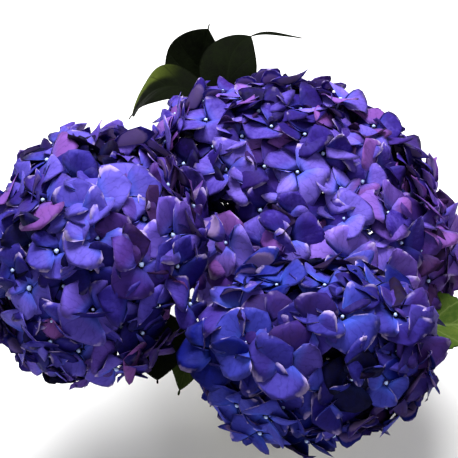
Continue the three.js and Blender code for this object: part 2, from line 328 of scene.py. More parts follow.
# Colour and roughness of a shader, and where there is a height, its bump.
def dress(shader, colour, roughness, height=None, strength=0.0, distance=0.0):
    feed(shader.inputs["Base Color"], colour)
    feed(shader.inputs["Roughness"], roughness)
    if height is not None:
        bump = addNode(shader.id_data, "Bump")
        bump.inputs["Strength"].default_value = strength
        bump.inputs["Distance"].default_value = distance
        feed(bump.inputs["Height"], height)
        feed(shader.inputs["Normal"], bump.outputs[0])


# The four values of the colour attribute "mask".
def maskSockets(tree):
    attribute = addNode(tree, "Attribute", attribute_name="mask")
    split = addNode(tree, "SeparateColor")
    feed(split.inputs[0], attribute.outputs["Color"])
    return split.outputs[0], split.outputs[1], split.outputs[2], attribute.outputs["Alpha"]


# camera: looks along +Y and down at the blooms from half above
view = {"target": (-0.040, 0.038, 0.160), "elevation": 50.0, "distance": 1.05, "lens": 118.1}


def makeCamera():
    camera = bpy.data.objects.new("camera", bpy.data.cameras.new("camera"))
    bpy.context.collection.objects.link(camera)
    rise = math.radians(view["elevation"])
    back = np.array([0, -math.cos(rise), math.sin(rise)]) * view["distance"]
    camera.location = np.array(view["target"]) + back
    camera.rotation_euler = (math.pi / 2 - rise, 0, 0)
    camera.data.lens = view["lens"]
    camera.data.sensor_width = 36
    camera.data.clip_start = 0.01
    bpy.context.scene.camera = camera


makeCamera()


# vase: the outline is a smooth curve through foot, belly, neck and lip, as radius and height
vase = {
    "height": 0.105, "wall": 0.0045, "floor": 0.007, "neckRadius": 0.0435,
    "outline": [(0.037, 0.0), (0.058, 0.050), (0.0435, 0.093), (0.047, 0.10275)],
    "steps": 66, "segments": 112, "footWidth": 0.006, "footEdge": 0.0004, "baseRise": 0.0016,
    "throwing": 0.00012, "cove": 0.004, "hub": 0.002,
}


# blooms: degrees and metres. half is the outline's half size: wide, deep and tall. heroes are the large
# clear florets, as polar and around; lobes are swells and dents, as polar, around, height and width
blooms = {
    "left": {
        "towards": 186, "reach": 0.131, "above": 0.091, "facing": 186, "tilt": 42, "yaw": 90,
        "lean": 186, "stemTilt": 42,
        "half": (0.091, 0.087, 0.071), "florets": 128,
        "heroes": [(40, -96), (88, -108), (57, -89), (34, -112), (48, -124), (75, -127), (32, -18)],
        "pink": 0.16, "pinkSide": (0.2, -0.3, -0.9), "swell": -0.001,
        "lobes": [(64, -62, -0.016, 26), (55, -8, 0.003, 25), (118, 170, 0.004, 30), (118, -132, 0.013, 20)],
    },
    "front": {
        "towards": -80, "reach": 0.088, "above": 0.085, "facing": -80, "tilt": 28, "yaw": 0,
        "lean": -80, "stemTilt": 28,
        "half": (0.081, 0.062, 0.066), "florets": 104,
        "heroes": [(50, 122), (56, 155), (15, 65), (42, -177), (25, -146), (41, 27)],
        "pink": 0.06, "pinkSide": (0.5, 0.0, 0.9), "swell": -0.001,
        "lobes": [(99, -120, 0.013, 25), (75, -150, -0.003, 18), (66, -20, 0.003, 25)],
    },
    "back": {
        "towards": 70, "reach": 0.052, "above": 0.055, "facing": -50, "tilt": 18, "yaw": -41,
        "lean": 60, "stemTilt": 42,
        "half": (0.118, 0.095, 0.068), "florets": 182,
        "heroes": [(45, -138), (14, -139), (36, -84), (58, -55), (35, -47), (44, -20), (90, -31), (62, -104)],
        "pink": 0.45, "pinkSide": (0.9, -0.2, -0.5), "swell": -0.001,
        "lobes": [(86, -168, 0.018, 22), (64, 118, 0.007, 20), (66, 80, 0.002, 20), (100, -110, 0.006, 20)],
    },
}
floret = {
    "rows": 7, "columns": 5, "length": 0.0200, "heroLength": 0.0235, "thickness": 0.0005,
    "clawRadius": 0.0011, "narrowest": 0.0009, "step": 0.0002, "blushShare": 0.2,
    "inset": 0.0085, "coverage": 125, "tilt": 15, "missing": 0.06, "levelStep": 0.0022,
    # the inner florets' tone share on this row is painted shade under the outer florets
    "innerDepth": 0.021, "innerShare": 0.55, "innerLength": 0.85, "innerPaintedShade": 0.06, "innerTilt": 0.45,
    "polarScatter": 0.035, "aroundScatter": 0.05, "heroTilt": 0.06,
    "heroGap": 0.0165, "nestle": 0.86, "clearOfLeaf": 0.006, "clearOfRim": 0.016,
    "beadRadius": 0.0014, "beadRows": 4, "beadSides": 7,
}
ray = {
    "receptacleShare": 0.45, "sideAngle": 75, "sideCount": 6, "knuckleShare": 0.5,
    "startGap": 0.0073, "radius": 0.0021, "knuckle": 0.0036, "rows": 9, "sides": 10, "endDepth": 0.004,
    "pedicel": 0.00062, "pedicelRows": 5, "pedicelSides": 5, "pedicelBow": 0.006, "pedicelGap": 0.0004,
}


# The bloom's own axes: across, third and along, as rows.
def bloomAxes(bloom):
    along = direction(bloom["facing"], 90 - bloom["tilt"])
    across = direction(bloom["yaw"], 0)
    across = unit(across - along * (across @ along))
    return np.stack([across, np.cross(along, across), along])


# The centre of a bloom or the tip of the shoot: out from the vase's axis and above its rim.
def centreOf(thing):
    return direction(thing["towards"], 0) * thing["reach"] + np.array([0, 0, vase["height"] + thing["above"]])


def receptacleOf(bloom):
    return centreOf(bloom) - bloomAxes(bloom)[2] * ray["receptacleShare"] * bloom["half"][2]


# How deep points lie in another bloom: 0 at its centre, 1 on its outline.
def depthIn(bloom, points):
    local = (points - centreOf(bloom)) @ bloomAxes(bloom).T
    return np.linalg.norm(local / np.array(bloom["half"]), axis=-1)


# Points of the outline ellipsoid drawn in by depth, with their directions and the outward normals there.
def onOutline(bloom, polar, around, depth):
    centre, axes = centreOf(bloom), bloomAxes(bloom)
    local = np.stack([np.sin(polar) * np.cos(around), np.sin(polar) * np.sin(around), np.cos(polar)], -1)
    half = np.array(bloom["half"]) - np.asarray(depth)[..., None]
    return local, centre + (local * half) @ axes, unit((local / half) @ axes)


# Even places on the covered cap: polar angle from an even share of its area, turned by the golden angle.
def evenPlaces(count, coverage):
    share = (np.arange(count) + 0.5) / count
    polar = np.arccos(1 - share * (1 - math.cos(math.radians(coverage))))
    return polar, np.arange(count) * goldenAngle


# How far the head swells out of its ellipsoid: height * exp(-(angle from the lobe / width)^2), summed.
def swellAt(bloom, local):
    total = np.full(len(local), bloom["swell"])
    for polar, around, height, width in bloom["lobes"]:
        towards = direction(around, 90 - polar)
        apart = np.degrees(np.arccos(np.clip(local @ towards, -1, 1)))
        total = total + height * np.exp(-((apart / width) ** 2))
    return total


# Every floret of a bloom as arrays: place, normal, length, twist, tone, pink, and whether it is an inner
# one. Outer florets lie at three levels, a few are missing, and inner ones fill the gaps under them,
# their tone cut low as painted shade.
def layFlorets(bloom):
    heroes = np.radians(np.array(bloom["heroes"], float))
    polar, around = evenPlaces(bloom["florets"], floret["coverage"])
    polar = polar + rng.normal(0, floret["polarScatter"], len(polar))
    around = around + rng.normal(0, floret["aroundScatter"], len(polar))
    heroPoints = onOutline(bloom, heroes[:, 0], heroes[:, 1], 0)[1]
    points = onOutline(bloom, polar, around, 0)[1]
    nearest = np.linalg.norm(points[:, None] - heroPoints[None], axis=2).min(1)
    keep = (nearest > floret["heroGap"]) & (rng.uniform(0, 1, len(polar)) > floret["missing"])
    polar = np.concatenate([heroes[:, 0], polar[keep]])
    around = np.concatenate([heroes[:, 1], around[keep]])
    isHero = np.arange(len(polar)) < len(heroes)
    level = (np.arange(len(polar)) * 5 % 3) * floret["levelStep"]
    depth = floret["inset"] + np.where(isHero, 0.0, level + rng.uniform(-0.0012, 0.0022, len(polar)))
    innerCount = int(bloom["florets"] * floret["innerShare"])
    innerPolar, innerAround = evenPlaces(innerCount, floret["coverage"] + 6)
    polar = np.concatenate([polar, innerPolar])
    around = np.concatenate([around, innerAround + 1.0])
    depth = np.concatenate([depth, floret["innerDepth"] + rng.uniform(-0.004, 0.006, innerCount)])
    isHero = np.concatenate([isHero, np.zeros(innerCount, bool)])
    inner = np.arange(len(polar)) >= len(polar) - innerCount
    local = onOutline(bloom, polar, around, depth)[0]
    depth = depth - np.where(inner, 0.5, 1.0) * swellAt(bloom, local)
    local, points, normals = onOutline(bloom, polar, around, depth)
    n = len(polar)
    outerTilt = math.tan(math.radians(floret["tilt"]))
    lean = np.where(isHero, floret["heroTilt"], np.where(inner, floret["innerTilt"], outerTilt))
    normals = unit(normals + rng.normal(0, 1, (n, 3)) * lean[:, None])
    length = np.where(isHero, floret["heroLength"], floret["length"] * rng.normal(1, 0.09, n))
    length = np.where(inner, length * floret["innerLength"], length)
    twist = rng.uniform(0, math.pi / 2, n)
    # painted shade: the inner florets' tone is cut to a small share, so they take the darkest and shadow
    # colours
    tone = np.clip(rng.normal(0.5, 0.24, n) + 0.3 * isHero, 0, 1) * np.where(inner, floret["innerPaintedShade"], 1)
    side = local @ unit(np.array(bloom["pinkSide"]))
    pink = np.clip(bloom["pink"] * (0.5 + 0.9 * side) + rng.normal(0, 0.05 + 0.22 * bloom["pink"], n), 0, 1)
    return {"unit": local, "point": points, "normal": normals, "length": length, "twist": twist,
            "tone": tone, "pink": pink, "blush": bloom["pink"], "inner": inner}


# The faces of one sepal, a thin lens: a top grid that ends in a tip point, and an under grid that
# shares its rim.
def sepalFaces():
    rows, columns = floret["rows"], floret["columns"]
    top = np.arange((rows - 1) * columns).reshape(rows - 1, columns)
    tip = (rows - 1) * columns
    under = top.copy()
    under[1:, 1:-1] = np.arange((rows - 2) * (columns - 2)).reshape(rows - 2, columns - 2) + tip + 1
    halves = []
    # both faces are cut along the same diagonals, so that the under one never shows through
    for g in (top, under):
        quads = np.stack([g[:-1, :-1], g[:-1, 1:], g[1:, 1:], g[1:, :-1]], -1).reshape(-1, 4)
        fan = np.stack([g[-1, :-1], g[-1, 1:], np.full(columns - 1, tip)], -1)
        halves.append(np.concatenate([quads[:, [0, 1, 2]], quads[:, [0, 2, 3]], fan]))
    return np.concatenate([halves[0], halves[1][:, ::-1]])


# Four sepals of each floret, all at once. Along a sepal, s runs from 0 at the claw to 1 at the tip, and
# t runs from -1 to 1 across. Half its width is length * s^0.72 * (1 - s)^0.9, scaled. It rises by rise * s,
# falls again by fall * s^2.4, its edges lift by cup * t^2 and ripple, and it is tipped sideways so that
# one edge lies over the next sepal.
def sepalPoints(places):
    n = len(places["length"])
    rows, columns = floret["rows"], floret["columns"]
    s = np.linspace(0.05, 1, rows)[:-1]
    t = np.linspace(-1, 1, columns)
    s, t = [a[None, None] for a in np.meshgrid(s, t, indexing="ij")]

    def spread(mean, scatter, low=-9.0, high=9.0):
        return np.clip(rng.normal(mean, scatter, (n, 4)), low, high)[:, :, None, None]

    inner = places["inner"][:, None, None, None]
    length = (places["length"][:, None] * rng.normal(1, 0.06, (n, 4)))[:, :, None, None]
    width = length * spread(0.67, 0.06, 0.54, 0.8)
    outline = s**0.72 * (1 - s) ** 0.9 / (0.4444**0.72 * 0.5556**0.9)
    phase = rng.uniform(0, 2 * math.pi, (n, 4))[:, :, None, None]
    ruffle = 1 + 0.05 * np.sin(9 * s + phase) * np.abs(t)
    half = np.maximum(width * outline * ruffle, floret["narrowest"])
    rise, fall = spread(0.32, 0.10), spread(0.42, 0.17)
    crumple = np.where(inner, 1.7, 1.0)
    cup, skew = spread(0.09, 0.11) * crumple, spread(0.24, 0.06)
    ripple = spread(0.036, 0.018, 0.008) * crumple
    sway = spread(0, 0.07)
    x = t * half + sway * length * s**2
    y = floret["clawRadius"] + length * (s - 0.05 * s**3)
    z = length * (rise * s - fall * s**2.4)
    z = z + cup * half * t**2 + skew * half * t
    z = z + ripple * length * t**2 * np.sin(8 * s + 2.2 * t + phase)
    z = z + floret["step"] * (np.arange(4) % 2)[None, :, None, None]
    tipBend = spread(0, 0.06)
    tip = [sway * length, floret["clawRadius"] + length * 0.97, length * (rise - fall + tipBend)]
    tip = np.stack([part[..., 0, 0] for part in tip], -1)
    grid = np.stack(np.broadcast_arrays(x, y, z), -1)
    thick = floret["thickness"] * (1 - t[0, 0, :, 1:-1] ** 2) * (1 - 0.5 * s[0, 0, :, 1:-1])
    under = grid[:, :, 1:, 1:-1].copy()
    under[..., 2] -= thick[None, None, 1:]
    flat = [grid.reshape(n, 4, -1, 3), tip[:, :, None], under.reshape(n, 4, -1, 3)]
    local = np.concatenate(flat, 2)
    # rim is 0.5 in the middle of the upper face, 1 on the side edges, 0.8 at the tip and 0 underneath;
    # run is s itself
    rim = np.concatenate([0.5 + 0.5 * np.abs(t[0, 0]).reshape(-1) ** 5, [0.8], np.zeros(thick[1:].size)])
    run = np.concatenate([s[0, 0].reshape(-1), [1.0], s[0, 0][1:, 1:-1].reshape(-1)])
    return local, rim, run


# Two vectors across each normal, turned by twist.
def tangents(normals, twist):
    helper = np.where(np.abs(normals[:, 2:]) < 0.9, np.array([[0.0, 0.0, 1.0]]), np.array([[1.0, 0.0, 0.0]]))
    e1 = unit(np.cross(helper, normals))
    e2 = np.cross(normals, e1)
    c, d = np.cos(twist)[:, None], np.sin(twist)[:, None]
    return c * e1 + d * e2, c * e2 - d * e1


# The sepals set about their florets' normals. The mask holds rim, run, tone and pink.
def addSepals(shape, places):
    n = len(places["length"])
    local, rim, run = sepalPoints(places)
    e1, e2 = tangents(places["normal"], places["twist"])
    angle = np.arange(4) * math.pi / 2 + rng.normal(0, 0.09, (n, 4))
    c, d = np.cos(angle)[..., None], np.sin(angle)[..., None]
    out = c * e1[:, None] + d * e2[:, None]
    side = -d * e1[:, None] + c * e2[:, None]
    world = places["point"][:, None, None] + local[..., 1:2] * out[:, :, None]
    world = world + local[..., 0:1] * side[:, :, None]
    world = world + local[..., 2:3] * places["normal"][:, None, None]
    each = world.shape[2]
    tone = np.clip(places["tone"][:, None] * rng.normal(1, 0.2, (n, 4)), 0, 1)
    mask = np.empty((n, 4, each, 4))
    mask[..., 0] = rim
    mask[..., 1] = run
    mask[..., 2] = tone[..., None]
    blush = rng.uniform(0, 1, (n, 4)) < floret["blushShare"] * places["blush"]
    pink = places["pink"][:, None] * rng.normal(1, 0.35, (n, 4)) + 0.8 * blush
    mask[..., 3] = np.clip(pink, 0, 1)[..., None]
    uv = local[..., :2] / places["length"][:, None, None, None] + np.array([0.5, 0.0])
    # seen from outside the columns run against the clock, so the faces are turned over
    shape.addMany(world.reshape(n * 4, each, 3), np.zeros((0, 4), int), sepalFaces()[:, ::-1],
                  mask, uv.reshape(-1, 2))


# A bead in each floret's centre: rings of a flattened ball, closed by a point above and below.
def addBeads(shape, places):
    n = len(places["length"])
    rows, sides = floret["beadRows"], floret["beadSides"]
    polar = np.linspace(0, math.pi, rows + 2)[1:-1]
    p, a = np.meshgrid(polar, fullTurn(sides), indexing="ij")
    lobes = 1 + 0.12 * np.cos(4 * a)
    ball = np.stack([np.sin(p) * np.cos(a) * lobes, np.sin(p) * np.sin(a) * lobes, 0.8 * np.cos(p)], -1)
    ball = np.concatenate([ball.reshape(-1, 3), [[0, 0, 0.8], [0, 0, -0.8]]])
    radius = floret["beadRadius"] * rng.normal(1, 0.1, n) * np.where(places["inner"], 0.8, 1)
    e1, e2 = tangents(places["normal"], places["twist"])
    basis = np.stack([e1, e2, places["normal"]], 1)
    centre = places["point"] + places["normal"] * radius[:, None] * 0.75
    world = centre[:, None] + radius[:, None, None] * (ball @ basis)
    # the rings run from the top down, so the faces are turned over
    quads, tris = gridFaces(rows, sides)[:, [0, 3, 2, 1]], endFaces(rows, sides)[:, [0, 2, 1]]
    mask = np.zeros((n, len(ball), 4))
    mask[..., 0] = np.concatenate([np.cos(p).reshape(-1), [1, -1]]) * 0.5 + 0.5
    mask[..., 2] = places["tone"][:, None]
    shape.addMany(world, quads, tris, mask, np.tile(ball[:, :2], (n, 1)), 1)


# Thin pedicels from the knuckle to the florets: straight lines that bow outwards by bow * s * (1 - s).
def addPedicels(shape, places, knuckle):
    steps, sides = ray["pedicelRows"], ray["pedicelSides"]
    s = np.linspace(0, 1, steps)
    head = places["point"] - places["normal"] * ray["pedicelGap"]
    line = knuckle + (head[:, None] - knuckle) * s[None, :, None]
    line = line + ray["pedicelBow"] * places["normal"][:, None] * (s * (1 - s))[None, :, None]
    ahead = unit(np.gradient(line, axis=1))
    e1 = unit(np.cross(ahead, np.array([0.31, 0.17, 0.93])))
    e2 = np.cross(ahead, e1)
    angle = fullTurn(sides)
    radius = ray["pedicel"] * (1 + 0.5 * (1 - s) ** 2 + 0.8 * s**8)
    around = np.cos(angle)[:, None] * e1[:, :, None] + np.sin(angle)[:, None] * e2[:, :, None]
    rings = line[:, :, None] + radius[None, :, None, None] * around
    n = len(line)
    points = np.concatenate([rings.reshape(n, -1, 3), line[:, :1], line[:, -1:]], 1)
    mask = np.zeros((n, points.shape[1], 4))
    mask[..., 1] = np.concatenate([np.repeat(s, sides), [0, 1]])
    mask[..., 2] = rng.uniform(0.2, 0.8, n)[:, None]
    shape.addMany(points, gridFaces(steps, sides), endFaces(steps, sides), mask, slot=2)


# Centripetal Catmull-Rom curve through 3D points, resampled at even lengths.
def curveThrough(points, count):
    p = np.array(points, float)
    p = np.concatenate([[2 * p[0] - p[1]], p, [2 * p[-1] - p[-2]]])
    pieces = []
    for a, b, c, d in zip(p, p[1:], p[2:], p[3:]):
        t1, t2, t3 = (np.linalg.norm(y - x) ** 0.5 for x, y in ((a, b), (b, c), (c, d)))
        v1 = ((b - a) / t1 - (c - a) / (t1 + t2) + (c - b) / t2) * t2
        v2 = ((c - b) / t2 - (d - b) / (t2 + t3) + (d - c) / t3) * t2
        w = np.linspace(0, 1, 60, endpoint=False)[:, None]
        pieces.append((2 * b - 2 * c + v1 + v2) * w**3 + (3 * c - 3 * b - 2 * v1 - v2) * w**2 + v1 * w + b)
    dense = np.concatenate([*pieces, p[-2:-1]])
    length = np.concatenate([[0], np.cumsum(np.linalg.norm(np.diff(dense, axis=0), axis=1))])
    even = np.linspace(0, length[-1], count)
    return np.stack([np.interp(even, length, dense[:, k]) for k in range(3)], -1)


# stems: radii and places in metres, nodes as shares of the length
stem = {
    "radius": 0.0042, "topRadius": 0.0034, "footReach": 0.024, "footTurn": 112, "straightEnd": 0.030,
    "mouthGap": 0.0036, "receptacle": 0.007, "bud": 0.0045, "rows": 150, "sides": 22,
    "joints": (0.2, 0.46, 0.74), "jointSwell": 0.16,
}
shoot = {"towards": 106, "reach": 0.141, "above": 0.037, "climb": 6, "lean": 122}


# The CAD's own route: foot in the vase, mouth on the rim, then into line with what the stem carries.
def stemRoute(lean, top, upwards):
    mouthRadius = vase["neckRadius"] - vase["wall"] - stem["mouthGap"]
    foot = direction(lean + stem["footTurn"], 0) * stem["footReach"]
    foot[2] = vase["floor"] + stem["radius"] / 2
    mouth = direction(lean, 0) * mouthRadius
    mouth[2] = vase["height"] - vase["wall"] / 2
    bend = top - upwards * stem["straightEnd"]
    return curveThrough([foot, (foot + mouth) / 2, mouth, bend, top], stem["rows"])


def stemMaterial():
    material, tree, shader = newMaterial("bark", **{"Specular IOR Level": 0.35})
    place = objectPlace(tree)
    run = maskSockets(tree)[1]
    stretch = addNode(tree, "Mapping")
    stretch.inputs["Scale"].default_value = (9.0, 55.0, 1.0)
    feed(stretch.inputs["Vector"], surfacePlace(tree))
    streaks = mottled(stretch.outputs[0], 1.0, 3.0)
    patches = mottled(place, 60.0, 6.0)
    young = blendOver(streaks, 0.35, 0.65, (0.055, 0.085, 0.020), (0.12, 0.16, 0.045))
    old = blendOver(streaks, 0.35, 0.65, (0.06, 0.045, 0.022), (0.16, 0.12, 0.06))
    body = blendOver(plus(patches, times(run, -0.55)), 0.05, 0.35, young, old)
    dots = rangeNode(cellDistance(place, 420), 0.22, 0.1, 0.0, 0.6)
    body = mixColour(dots, body, (0.09, 0.05, 0.04))
    rough = rangeNode(streaks, 0.3, 0.7, 0.5, 0.75)
    dress(shader, body, rough, plus(streaks, dots), 0.35, 0.0008)
    return material


# A tapering tube whose joints swell, with a receptacle or bud on its top.
def makeStems():
    bark = stemMaterial()
    routes = {}
    for name, bloom in blooms.items():
        upwards = direction(bloom["towards"], 90 - bloom["stemTilt"])
        routes[name] = (stemRoute(bloom["lean"], receptacleOf(bloom), upwards), stem["receptacle"])
    upwards = direction(shoot["towards"], shoot["climb"])
    routes["shoot"] = (stemRoute(shoot["lean"], centreOf(shoot), upwards), stem["bud"])
    for name, (route, top) in routes.items():
        share = np.linspace(0, 1, len(route))
        radii = stem["radius"] + (stem["topRadius"] - stem["radius"]) * share
        swell = sum(np.exp(-(((share - joint) / 0.012) ** 2)) for joint in stem["joints"])
        radii = radii * (1 + stem["jointSwell"] * swell * (share > 0.3)) * (1 - 0.1 * np.exp(-share / 0.004))
        shape = Shape()
        addTube(shape, route, radii, stem["sides"], (0, 0.5, 0.5, 0))
        shape.masks[0][:-2, 1] = np.repeat(share, stem["sides"])
        lift = np.linspace(-0.985, 0.985, 15)
        ahead = unit(route[-1] - route[-4])
        ball = route[-1] + ahead * lift[:, None] * top * 0.96
        bulge = top * 0.97 * np.sqrt(1 - lift**2) * (1 + 0.04 * np.cos(lift * 9))
        addTube(shape, ball, bulge, stem["sides"], (0, 1, 0.5, 0))
        piece = shape.build(f"stalk_{name}", [bark])
        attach(piece, "root")
        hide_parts(f"stem_{name}")
    print("stems ready")
    return [route for route, _ in routes.values()]


# leaves: degrees and metres. fullest is where the blade is widest and point the share of its drawn-out
# tip. tone is 0 in the shade and 1 in the light, and the edge share is how much of one side near the tip
# is painted in the yellowish green of a lit upper face, a painted highlight. What a leaf doesn't say comes
# from plainLeaf
plainLeaf = {"fullest": 0.42, "point": 0.04, "tone": 0.0, "litEdge": 0.0, "toothed": 0.6}
leaves = {
    "shoot_left": dict(heading=130, climb=54, swing=44, lift=-116, length=0.141, width=0.042,
                       fullest=0.70, litEdge=0.8, toothed=0.1),
    "shoot_middle": dict(heading=126, climb=13, swing=-78, lift=60, length=0.102, width=0.054,
                         fullest=0.64, toothed=0.1),
    "shoot_right": dict(heading=113, climb=53, swing=-84, lift=-85, length=0.179, width=0.042,
                        fullest=0.6, point=0.3, toothed=0.1),
    "right": dict(heading=15, climb=14, swing=-20, lift=-10, length=0.138, width=0.066,
                  tone=0.8, toothed=1.0),
    "front_low": dict(heading=183, climb=-4, swing=20, lift=-60, length=0.077, width=0.040, point=0.06),
    "left_low": dict(heading=250, climb=-6, swing=-6, lift=-50, length=0.062, width=0.026,
                     point=0.06, tone=0.25),
    "left_front": dict(heading=255, climb=-14, swing=16, lift=-26, length=0.058, width=0.046),
    "left_back": dict(heading=112, climb=6, swing=10, lift=-4, length=0.112, width=0.066, tone=0.2),
}
blade = {
    "rows": 169, "columns": 25, "petioleShare": 0.14, "petioleWidth": 0.0034, "petioleThick": 0.0026,
    "thick": 0.0010, "tipWidth": 0.0010, "tipBulge": 0.012, "crease": 0.16, "groove": 0.0005,
    "turnStart": 0.2, "turnEnd": 0.9, "fullness": 0.85, "teeth": 27, "toothDepth": 0.055,
    "veinPairs": 9.6, "veinSlant": 0.17, "quilt": 0.00055, "wave": 0.0016,
}


# A leaf's points. Its midrib is the sum of small steps ahead, where heading and climb turn by swing and
# lift as a smooth step. Half its width is a sine of a power of the share, with saw teeth along it.
# Across, the two halves rise by crease * |x|, swell between the side veins, and wave at their edges.
def leafPoints(leaf):
    s = np.linspace(0, 1, blade["rows"])
    bend = smooth(s, blade["turnStart"], blade["turnEnd"])
    heading = leaf["heading"] + leaf["swing"] * bend
    ahead = direction(heading, leaf["climb"] + leaf["lift"] * bend)
    middle = np.cumsum(ahead, axis=0) * leaf["length"] / (blade["rows"] - 1)
    side = direction(heading - 90, np.zeros_like(heading))
    up = np.cross(side, ahead)
    share = (s - blade["petioleShare"]) / (1 - blade["petioleShare"] - leaf["point"])
    inBlade = np.clip(share, 0, 1)
    oval = np.maximum(np.sin(math.pi * inBlade ** (math.log(0.5) / math.log(leaf["fullest"]))), 0)
    tooth = (s * blade["teeth"]) % 1
    saw = leaf["toothed"] * blade["toothDepth"] * (tooth**1.5 - 0.6)
    saw = saw * smooth(inBlade, 0.12, 0.3) * smooth(inBlade, 1.0, 0.94)
    drawn = np.clip((s - 1 + leaf["point"]) / leaf["point"], 0, 1)
    tipWidth = blade["tipWidth"] + leaf["point"] * blade["tipBulge"] * np.sin(math.pi * drawn**0.9)
    narrow = np.where(inBlade < 0.5, blade["petioleWidth"], tipWidth)
    half = np.maximum(leaf["width"] * oval ** blade["fullness"] * (1 + saw), narrow) / 2
    half = np.where(share <= 0, blade["petioleWidth"] / 2, half)
    t = np.linspace(-1, 1, blade["columns"])
    x = half[:, None] * t
    spread = np.minimum(half / (leaf["width"] / 2), 1)[:, None]
    place = (s[:, None] - blade["veinSlant"] * np.abs(t) ** 0.8 * spread) * blade["veinPairs"]
    swell = np.abs(np.sin(math.pi * place)) ** 0.7 * (1 - np.abs(t) ** 3) * smooth(np.abs(t), 0.03, 0.3)
    lift = blade["crease"] * np.abs(x) * smooth(share, -0.1, 0.1)[:, None]
    lift = lift + blade["quilt"] * swell * spread * smooth(share, 0, 0.15)[:, None]
    lift = lift + blade["wave"] * np.sin(2 * math.pi * (3.1 * s[:, None] + 0.15 * t)) * t**2 * spread
    body = np.where(share <= 0, blade["petioleThick"], blade["thick"])[:, None]
    rib = 1 + 1.1 * np.exp(-((t / 0.07) ** 2)) * (share > 0)[:, None]
    thick = body * np.sqrt(1 - t**2) * np.where(share[:, None] > 0, 0.6, 1.0) * rib / 2
    groove = blade["groove"] * np.exp(-((t / 0.06) ** 2)) * smooth(share, 0, 0.1)[:, None] * spread

    def at(height):
        return middle[:, None] + side[:, None] * x[..., None] + up[:, None] * height[..., None]

    top, under = at(lift + thick * 0.7 - groove), at(lift - thick)
    return s, t, np.concatenate([top, under[:, -2:0:-1]], 1), middle


def leafMaterial():
    material, tree, shader = newMaterial("leaf", **{"Specular IOR Level": 0.02})
    under, litEdge, tone, _ = maskSockets(tree)
    place = objectPlace(tree)
    pattern = useGroup(tree, sideVeins, Vector=surfacePlace(tree), Pairs=blade["veinPairs"], Slant=0.3,
                       Sharpness=9.0)
    patches = mottled(place, 45.0, 7.0)
    net = rangeNode(cellDistance(place, 520, "DISTANCE_TO_EDGE"), 0.0, 0.12)
    shade = blendOver(patches, 0.35, 0.65, (0.0012, 0.0016, 0.0007), (0.0035, 0.0055, 0.0017))
    lit = blendOver(patches, 0.35, 0.65, (0.035, 0.070, 0.010), (0.085, 0.125, 0.022))
    litOlive = blendOver(patches, 0.3, 0.7, (0.055, 0.080, 0.008), (0.10, 0.13, 0.02))
    # painted light: one side of the blade near its tip takes the yellowish green of a lit upper face
    body = mixColour(litEdge, mixColour(tone, shade, lit), litOlive)
    veined = mathNode("MAXIMUM", pattern["Lines"], pattern["Midrib"])
    pale = mixColour(tone, (0.004, 0.006, 0.002), (0.15, 0.20, 0.06))
    body = mixColour(times(veined, 0.55), body, pale)
    back = mixColour(tone, (0.004, 0.006, 0.002), (0.13, 0.17, 0.07))
    body = mixColour(under, body, back)
    height = minus(times(net, 0.35), times(veined, 0.8))
    dress(shader, body, rangeNode(patches, 0.3, 0.7, 0.62, 0.8), height, 0.5, 0.0005)
    return material


def makeLeaves():
    material = leafMaterial()
    taken = []
    for name, own in leaves.items():
        leaf = plainLeaf | own
        s, t, grid, middle = leafPoints(leaf)
        rows, columns = grid.shape[:2]
        points = np.concatenate([grid.reshape(-1, 3), middle[:1], middle[-1:]])
        lo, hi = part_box("leaf_" + name)
        points += (np.array(lo) + np.array(hi)) / 2 - (points.min(0) + points.max(0)) / 2
        ring = np.concatenate([t, t[-2:0:-1]])
        isUnder = np.concatenate([np.zeros(len(t)), np.ones(len(t) - 2)])
        mask = np.zeros((rows, columns, 4))
        mask[..., 0] = isUnder
        # painted light on one side of the blade near its tip, as the mask's second value
        mask[..., 1] = leaf["litEdge"] * smooth(ring, 0.3, 0.55) * smooth(s, 0.58, 0.8)[:, None]
        mask[..., 2] = leaf["tone"]
        mask = np.concatenate([mask.reshape(-1, 4), mask[:1, 0], mask[-1:, 0]])
        uv = np.stack(np.broadcast_arrays(ring * 0.5 + 0.5, s[:, None]), -1)
        uv = np.concatenate([uv.reshape(-1, 2), [[0.5, 0], [0.5, 1]]])
        shape = Shape()
        shape.add(points, gridFaces(rows, columns), endFaces(rows, columns), mask, uv)
        piece = shape.build("foliage_" + name, [material])
        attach(piece, "root")
        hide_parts("leaf_" + name)
        taken.append(points[: rows * columns].reshape(rows, columns, 3)[::5, ::5].reshape(-1, 3))
    print("leaves ready")
    return taken


# Uniform Catmull-Rom curve through points of radius and height, its ends doubled.
def outlineThrough(points, count):
    p = np.array(points)
    last = len(p) - 1
    u = np.linspace(0, last, count)
    k = np.minimum(u.astype(int), last - 1)
    w = (u - k)[:, None]
    p0, p1, p2, p3 = p[np.maximum(k - 1, 0)], p[k], p[k + 1], p[np.minimum(k + 2, last)]
    v1, v2 = (p2 - p0) / 2, (p3 - p1) / 2
    return (2 * p1 - 2 * p2 + v1 + v2) * w**3 + (3 * p2 - 3 * p1 - 2 * v1 - v2) * w**2 + v1 * w + p1


def glazeMaterial():
    material, tree, shader = newMaterial("glaze", **{"Coat Weight": 0.6, "Coat Roughness": 0.08})
    bare, pooled, _, _ = maskSockets(tree)
    place = objectPlace(tree)
    clouds = mottled(place, 14.0, 6.0)
    rare = mathNode("GREATER_THAN", clouds, 0.5)
    specks = times(rangeNode(cellDistance(place, 210), 0.14, 0.07), rare)
    body = blendOver(clouds, 0.3, 0.7, (0.70, 0.66, 0.57), (0.80, 0.77, 0.70))
    body = mixColour(pooled, body, (0.52, 0.50, 0.42))
    body = mixColour(times(specks, 0.55), body, (0.20, 0.13, 0.07))
    clay = blendOver(clouds, 0.35, 0.65, (0.40, 0.31, 0.22), (0.50, 0.40, 0.29))
    body = mixColour(bare, body, clay)
    rough = mathNode("MAXIMUM", rangeNode(clouds, 0.3, 0.7, 0.2, 0.34), times(bare, 0.85))
    dress(shader, body, rough, plus(clouds, times(specks, -0.4)), 0.15, 0.0008)
    return material


